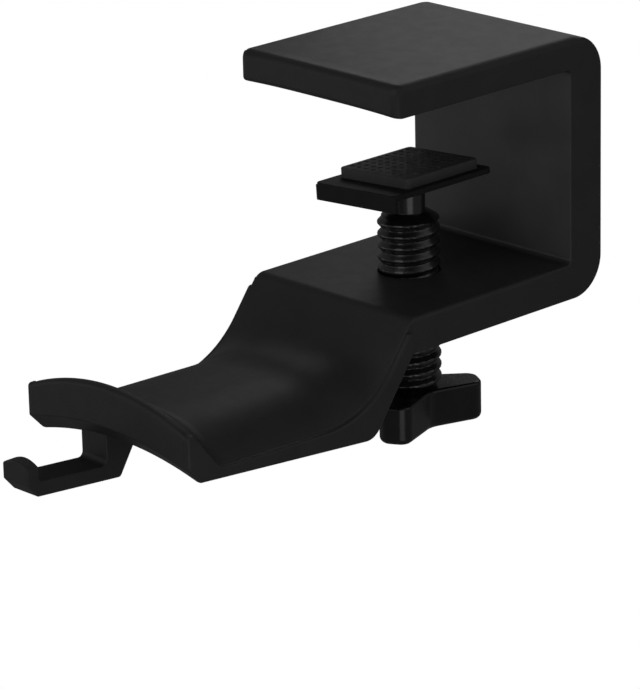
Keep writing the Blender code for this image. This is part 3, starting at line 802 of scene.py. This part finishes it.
def head_screw_mesh(name, head_radius, head_height, length):
    """Pan-headed self-tapping screw, its head's underside at z = 0 and its shaft running down."""
    dome = []
    for step in range(HEAD_DOME_STEPS + 1):
        turn = math.pi / 2 * step / HEAD_DOME_STEPS
        height = head_height * (HEAD_RIM_SHARE + HEAD_DOME_SHARE * math.cos(turn))
        dome.append((head_radius * math.sin(turn), height))
    profile = dome + [
        (head_radius, 0),
        (SMALL_SHAFT_RADIUS, 0),
        (SMALL_SHAFT_RADIUS, -length + SMALL_SHAFT_RADIUS),
        (0, -length),
    ]
    return turned_mesh(name, profile, ROUND_SIDES)


def cross_recess_mesh(head_radius, head_height):
    """A cross-shaped driver recess that narrows downwards."""
    arm = head_radius * RECESS_ARM_SHARE
    half = head_radius * RECESS_HALF_SHARE
    outline = [(arm, -half), (arm, half), (half, half), (half, arm), (-half, arm), (-half, half)]
    outline += [(-x, -y) for x, y in outline]
    points = []
    for share, height in ((1, RECESS_TOP_SHARE), (RECESS_NARROWING, RECESS_FLOOR_SHARE)):
        points += [(x * share, y * share, head_height * height) for x, y in outline]
    return prism_mesh("cross_recess", points, len(outline))


# ---------------------------------------------------------------- materials


class Nodes:
    """A short way to write a material's nodes."""

    def __init__(self, name):
        self.material = bpy.data.materials.new(name)
        self.material.use_nodes = True
        self.tree = self.material.node_tree
        self.shader = self.tree.nodes["Principled BSDF"]

    def add(self, kind, **settings):
        node = self.tree.nodes.new("ShaderNode" + kind)
        for key, value in settings.items():
            setattr(node, key, value)
        return node

    def link(self, source, target):
        self.tree.links.new(source, target)

    def noise(self, scale, detail=2.0, stretch=(1, 1, 1)):
        place = self.add("TexCoord")
        turn = self.add("Mapping")
        turn.inputs["Scale"].default_value = stretch
        texture = self.add("TexNoise")
        texture.inputs["Scale"].default_value = scale
        texture.inputs["Detail"].default_value = detail
        self.link(place.outputs["Object"], turn.inputs["Vector"])
        self.link(turn.outputs["Vector"], texture.inputs["Vector"])
        return texture.outputs["Fac"]

    def ranged(self, value, low, high, from_low=0.3, from_high=0.7):
        """The value spread over low to high."""
        spread = self.add("MapRange")
        spread.inputs["From Min"].default_value = from_low
        spread.inputs["From Max"].default_value = from_high
        spread.inputs["To Min"].default_value = low
        spread.inputs["To Max"].default_value = high
        self.link(value, spread.inputs["Value"])
        return spread.outputs["Result"]

    def combined(self, operation, first, second):
        joined = self.add("Math", operation=operation)
        for socket, value in zip(joined.inputs, (first, second)):
            if isinstance(value, (int, float)):
                socket.default_value = value
            else:
                self.link(value, socket)
        return joined.outputs["Value"]

    def mixed_colour(self, share, first, second):
        """A mix of two colours, each written out or another node's output. A share of 0 is the first."""
        mix = self.add("Mix", data_type="RGBA")
        self.link(share, mix.inputs["Factor"])
        sockets = [socket for socket in mix.inputs if socket.type == "RGBA"]
        for socket, colour in zip(sockets, (first, second)):
            if isinstance(colour, tuple):
                socket.default_value = (*colour, 1)
            else:
                self.link(colour, socket)
        return next(socket for socket in mix.outputs if socket.type == "RGBA")

    def worn_edges(self, radius):
        """1 on outer edges, broken up by noise, and 0 on flat faces."""
        bevel = self.add("Bevel", samples=4)
        bevel.inputs["Radius"].default_value = radius
        surface = self.add("NewGeometry")
        across = self.add("VectorMath", operation="DOT_PRODUCT")
        self.link(bevel.outputs["Normal"], across.inputs[0])
        self.link(surface.outputs["Normal"], across.inputs[1])
        edge = self.ranged(across.outputs["Value"], 1, 0, from_low=0.90, from_high=0.998)
        patches = self.ranged(self.noise(900, detail=4), 0, 1, from_low=0.42, from_high=0.66)
        return self.combined("MULTIPLY", edge, patches)

    def bump(self, height, distance):
        bump = self.add("Bump")
        bump.inputs["Distance"].default_value = distance
        self.link(height, bump.inputs["Height"])
        self.link(bump.outputs["Normal"], self.shader.inputs["Normal"])


def moulded_plastic(name, dark, light, worn, roughness, grain, depth, specular):
    """Black plastic or rubber: mottled between dark and light, grained, its edges worn and smoother."""
    nodes = Nodes(name)
    edge = nodes.worn_edges(WEAR_RADIUS)
    mottle = nodes.ranged(nodes.noise(160, detail=4), 0, 1)
    colour = nodes.mixed_colour(mottle, dark, light)
    nodes.link(nodes.mixed_colour(edge, colour, worn), nodes.shader.inputs["Base Color"])
    patchy = nodes.ranged(nodes.noise(420, detail=5), *roughness)
    rubbed = nodes.combined("MULTIPLY", edge, WEAR_SMOOTHING)
    nodes.link(nodes.combined("ADD", patchy, rubbed), nodes.shader.inputs["Roughness"])
    nodes.shader.inputs["Specular IOR Level"].default_value = specular
    nodes.bump(nodes.noise(grain, detail=3), depth)
    return nodes.material


def zinc_steel(name):
    """Zinc-plated steel with fine turning marks and a dull film."""
    nodes = Nodes(name)
    nodes.shader.inputs["Metallic"].default_value = 1.0
    film = nodes.ranged(nodes.noise(1500, detail=4), 0, 1)
    colour = nodes.mixed_colour(film, (0.36, 0.36, 0.37), (0.52, 0.52, 0.52))
    nodes.link(colour, nodes.shader.inputs["Base Color"])
    nodes.link(nodes.ranged(nodes.noise(2500, detail=3), 0.26, 0.44), nodes.shader.inputs["Roughness"])
    nodes.bump(nodes.noise(1800, stretch=(1, 1, 6)), 0.00001)
    return nodes.material


# ---------------------------------------------------------------- pieces


def dress(obj, *finishes):
    obj.data.materials.clear()
    for finish in finishes:
        obj.data.materials.append(finish)


def stand_for(obj, node, body):
    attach(obj, body)
    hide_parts(node)


def make_bracket():
    grained = moulded_plastic(
        "bracket_plastic",
        dark=(0.028, 0.028, 0.0285),
        light=(0.034, 0.034, 0.0345),
        worn=(0.050, 0.050, 0.051),
        roughness=(0.46, 0.51),
        grain=3600,
        depth=0.00003,
        specular=0.42,
    )
    # A smoother, finer-grained copy of the bracket plastic for the wall's inner face. Its colour is about
    # two and a half times paler, which is painted light standing in for the light that face catches. The
    # lower roughness and finer grain are the finish.
    smooth_painted_light_plastic = moulded_plastic(
        "bracket_plastic_wall_painted_light",
        dark=(0.075, 0.075, 0.0755),
        light=(0.088, 0.088, 0.0885),
        worn=(0.100, 0.100, 0.101),
        roughness=(0.38, 0.42),
        grain=2600,
        depth=0.00001,
        specular=0.5,
    )
    bracket = new_object("bracket_moulding", bracket_mesh())
    near_rim = new_object("near_rim_tool", saddle_rim_mesh("near_rim", -1))
    far_rim = new_object("far_rim_tool", saddle_rim_mesh("far_rim", 1))
    hook = new_object("cable_hook_tool", cable_hook_mesh())
    thread = new_object("arm_thread_tool", thread_cutter_mesh())
    boolean(bracket, near_rim, "UNION")
    boolean(bracket, far_rim, "UNION")
    boolean(bracket, hook, "UNION")
    boolean(bracket, thread, "DIFFERENCE")
    settle(bracket, (near_rim, far_rim, hook, thread))
    dress(bracket, grained, smooth_painted_light_plastic)
    # Faces on the wall's inner side take the paler copy, which is painted light.
    for face in bracket.data.polygons:
        at_wall = abs(face.center.x - WALL_INNER_X) < WALL_FACE_REACH
        face.material_index = 1 if at_wall and face.normal.x < WALL_FACE_TURN else 0
    stand_for(bracket, "bracket", "bracket")


def make_screw():
    plastic = moulded_plastic(
        "screw_plastic",
        dark=(0.009, 0.009, 0.0095),
        light=(0.013, 0.013, 0.0135),
        worn=(0.022, 0.022, 0.023),
        roughness=(0.22, 0.28),
        grain=2600,
        depth=0.00001,
        specular=1.0,
    )
    screw = new_object("screw_moulding", clamp_screw_mesh())
    settle(screw)
    dress(screw, plastic)
    stand_for(screw, "clamp_screw", "screw")


def make_knob():
    plastic = moulded_plastic(
        "knob_plastic",
        dark=(0.009, 0.009, 0.0095),
        light=(0.012, 0.012, 0.0125),
        worn=(0.022, 0.022, 0.023),
        roughness=(0.22, 0.28),
        grain=2600,
        depth=0.00001,
        specular=0.5,
    )
    levels = edge_levels(-KNOB_HEIGHT, 0, KNOB_BOTTOM_EDGE, KNOB_TOP_EDGE, KNOB_EDGE_STEPS)
    knob = new_object("knob_moulding", slab_mesh("knob_moulding", knob_outline(), levels))
    bore = new_object("knob_bore_tool", knob_bore_mesh())
    boolean(knob, bore, "DIFFERENCE")
    settle(knob, (bore,))
    knob.data.transform(Matrix.Translation((0, 0, KNOB_TOP_Z)) @ Matrix.Rotation(KNOB_TURN, 4, "Z"))
    dress(knob, plastic)
    stand_for(knob, "knob", "screw")


def tilted():
    """From the plate's own place, with its pivot at 0, to where it stands."""
    return Matrix.Translation((0, 0, PLATE_PIVOT_Z)) @ Matrix.Rotation(PLATE_TILT, 4, "X")


def make_plate():
    plastic = moulded_plastic(
        "plate_plastic",
        dark=(0.012, 0.012, 0.0125),
        light=(0.017, 0.017, 0.0175),
        worn=(0.028, 0.028, 0.029),
        roughness=(0.46, 0.52),
        grain=2600,
        depth=0.00001,
        specular=0.15,
    )
    plate = new_object("plate_moulding", plate_mesh())
    flange = new_object("plate_flange_tool", flange_mesh())
    dish = new_object("plate_dish_tool", dish_mesh())
    hole = new_object("plate_hole_tool", dish_cut_mesh())
    boolean(plate, flange, "UNION")
    boolean(plate, dish, "UNION")
    boolean(plate, hole, "DIFFERENCE")
    settle(plate, (flange, dish, hole))
    plate.data.transform(tilted())
    dress(plate, plastic)
    stand_for(plate, "pressure_plate", "plate")


def make_pad():
    rubber = moulded_plastic(
        "pad_rubber",
        dark=(0.050, 0.050, 0.050),
        light=(0.062, 0.062, 0.062),
        worn=(0.080, 0.080, 0.080),
        roughness=(0.55, 0.72),
        grain=3000,
        depth=0.00004,
        specular=0.5,
    )
    pad = new_object("pad_moulding", pad_mesh())
    pocket = new_object("pad_pocket_tool", pad_pocket_mesh())
    dimples = new_object("dimples_tool", dimples_mesh())
    boolean(pad, pocket, "DIFFERENCE")
    boolean(pad, dimples, "DIFFERENCE")
    settle(pad, (pocket, dimples))
    pad.data.transform(tilted())
    dress(pad, rubber)
    stand_for(pad, "grip_pad", "plate")


def make_small_screw(node, head_radius, head_height, length, place, steel):
    name = node + "_turned"
    screw = new_object(name, head_screw_mesh(name, head_radius, head_height, length))
    recess = new_object(name + "_tool", cross_recess_mesh(head_radius, head_height))
    boolean(screw, recess, "DIFFERENCE")
    settle(screw, (recess,))
    screw.data.transform(place)
    dress(screw, steel)
    stand_for(screw, node, "screw")


def make_fasteners():
    steel = zinc_steel("zinc_steel")
    upper = Matrix.Translation((0, 0, RETAINING_HEAD_Z))
    lower = Matrix.Translation((0, 0, KNOB_SCREW_Z)) @ Matrix.Rotation(math.pi, 4, "X")
    make_small_screw("retaining_screw", HEAD_RADIUS, HEAD_HEIGHT, RETAINING_LENGTH, upper, steel)
    make_small_screw("knob_screw", KNOB_HEAD_RADIUS, KNOB_HEAD_HEIGHT, KNOB_SCREW_LENGTH, lower, steel)
    for name in ("thrust_washer", "retaining_washer"):
        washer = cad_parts[name]
        dress(washer, steel)
        bevel = washer.modifiers.new("bevel", "BEVEL")
        bevel.width = WASHER_BEVEL
        bevel.segments = 2


# ---------------------------------------------------------------- camera, light and stage


def add_camera():
    back = Vector(
        (
            math.sin(AZIMUTH) * math.cos(ELEVATION),
            -math.cos(AZIMUTH) * math.cos(ELEVATION),
            math.sin(ELEVATION),
        )
    )
    level = Vector((math.cos(AZIMUTH), math.sin(AZIMUTH), 0))
    upright = back.cross(level)
    right = level * math.cos(ROLL) + upright * math.sin(ROLL)
    up = upright * math.cos(ROLL) - level * math.sin(ROLL)
    data = bpy.data.cameras.new("camera")
    data.lens = LENS
    data.clip_end = CLIP_END
    camera = bpy.data.objects.new("camera", data)
    bpy.context.scene.collection.objects.link(camera)
    turn = Matrix((right, up, back)).transposed().to_4x4()
    place = AIM + back * DISTANCE + right * SHIFT_RIGHT + up * SHIFT_UP
    camera.matrix_world = Matrix.Translation(place) @ turn
    bpy.context.scene.camera = camera


def add_softbox(name, turn, height, distance, size, radiance):
    """A softbox that many degrees round the object to the right of the camera."""
    angle = AZIMUTH + math.radians(turn)
    place = Vector((math.sin(angle) * distance, -math.cos(angle) * distance, height))
    add_lamp(name, place, size, radiance)


def add_lamp(name, place, size, radiance):
    data = bpy.data.lights.new(name, "AREA")
    data.shape = "RECTANGLE"
    data.size, data.size_y = size
    data.energy = radiance * math.pi * size[0] * size[1]
    lamp = bpy.data.objects.new(name, data)
    bpy.context.scene.collection.objects.link(lamp)
    lamp.visible_camera = False
    lamp.location = place
    lamp.rotation_euler = (AIM - place).to_track_quat("-Z", "Y").to_euler()


def white_surface(name):
    made = bpy.data.materials.new(name)
    made.use_nodes = True
    shader = made.node_tree.nodes["Principled BSDF"]
    shader.inputs["Base Color"].default_value = (0, 0, 0, 1)
    shader.inputs["Specular IOR Level"].default_value = 0
    shader.inputs["Emission Color"].default_value = (1, 1, 1, 1)
    shader.inputs["Emission Strength"].default_value = 1.0
    return made


def add_stage():
    """A pale floor that runs up into a pale backdrop all round, seen by the camera only."""
    profile = [(0, FLOOR_Z), (BACKDROP_RADIUS * BACKDROP_FLAT_SHARE, FLOOR_Z)]
    for step in range(1, BACKDROP_STEPS + 1):
        turn = math.pi / 2 * step / BACKDROP_STEPS
        radius = BACKDROP_RADIUS * (BACKDROP_FLAT_SHARE + BACKDROP_CURVE_SHARE * math.sin(turn))
        profile.append((radius, FLOOR_Z + BACKDROP_CURVE_HEIGHT * (1 - math.cos(turn))))
    profile += [(BACKDROP_RADIUS, BACKDROP_RADIUS), (0, BACKDROP_RADIUS)]
    backdrop = new_object("backdrop", turned_mesh("backdrop", profile, BACKDROP_SIDES))
    backdrop.data.shade_smooth()
    backdrop.data.materials.append(white_surface("studio_white"))
    backdrop.visible_diffuse = False
    backdrop.visible_glossy = False
    backdrop.visible_transmission = False
    backdrop.visible_shadow = False
    world = bpy.data.worlds.new("studio")
    world.use_nodes = True
    background = world.node_tree.nodes["Background"]
    background.inputs["Color"].default_value = (1, 1, 1, 1)
    background.inputs["Strength"].default_value = WORLD_STRENGTH
    bpy.context.scene.world = world
    bpy.context.scene.view_settings.view_transform = "Standard"


def add_lights():
    add_softbox("left_softbox", turn=-42, height=0.25, distance=0.60, size=(0.52, 0.80), radiance=0.50)
    add_softbox("side_softbox", turn=-100, height=-0.05, distance=0.80, size=(0.50, 0.50), radiance=0.30)
    add_softbox("right_softbox", turn=66, height=0.25, distance=0.60, size=(0.60, 0.80), radiance=0.22)
    add_lamp("back_softbox", Vector((0.15, 0.08, 0.085)), size=(0.16, 0.09), radiance=0.85)
    add_lamp("low_softbox", Vector((-0.10, -0.15, -0.10)), size=(0.12, 0.12), radiance=0.55)


add_camera()
add_stage()
add_lights()
make_bracket()
make_screw()
make_knob()
make_plate()
make_pad()
make_fasteners()
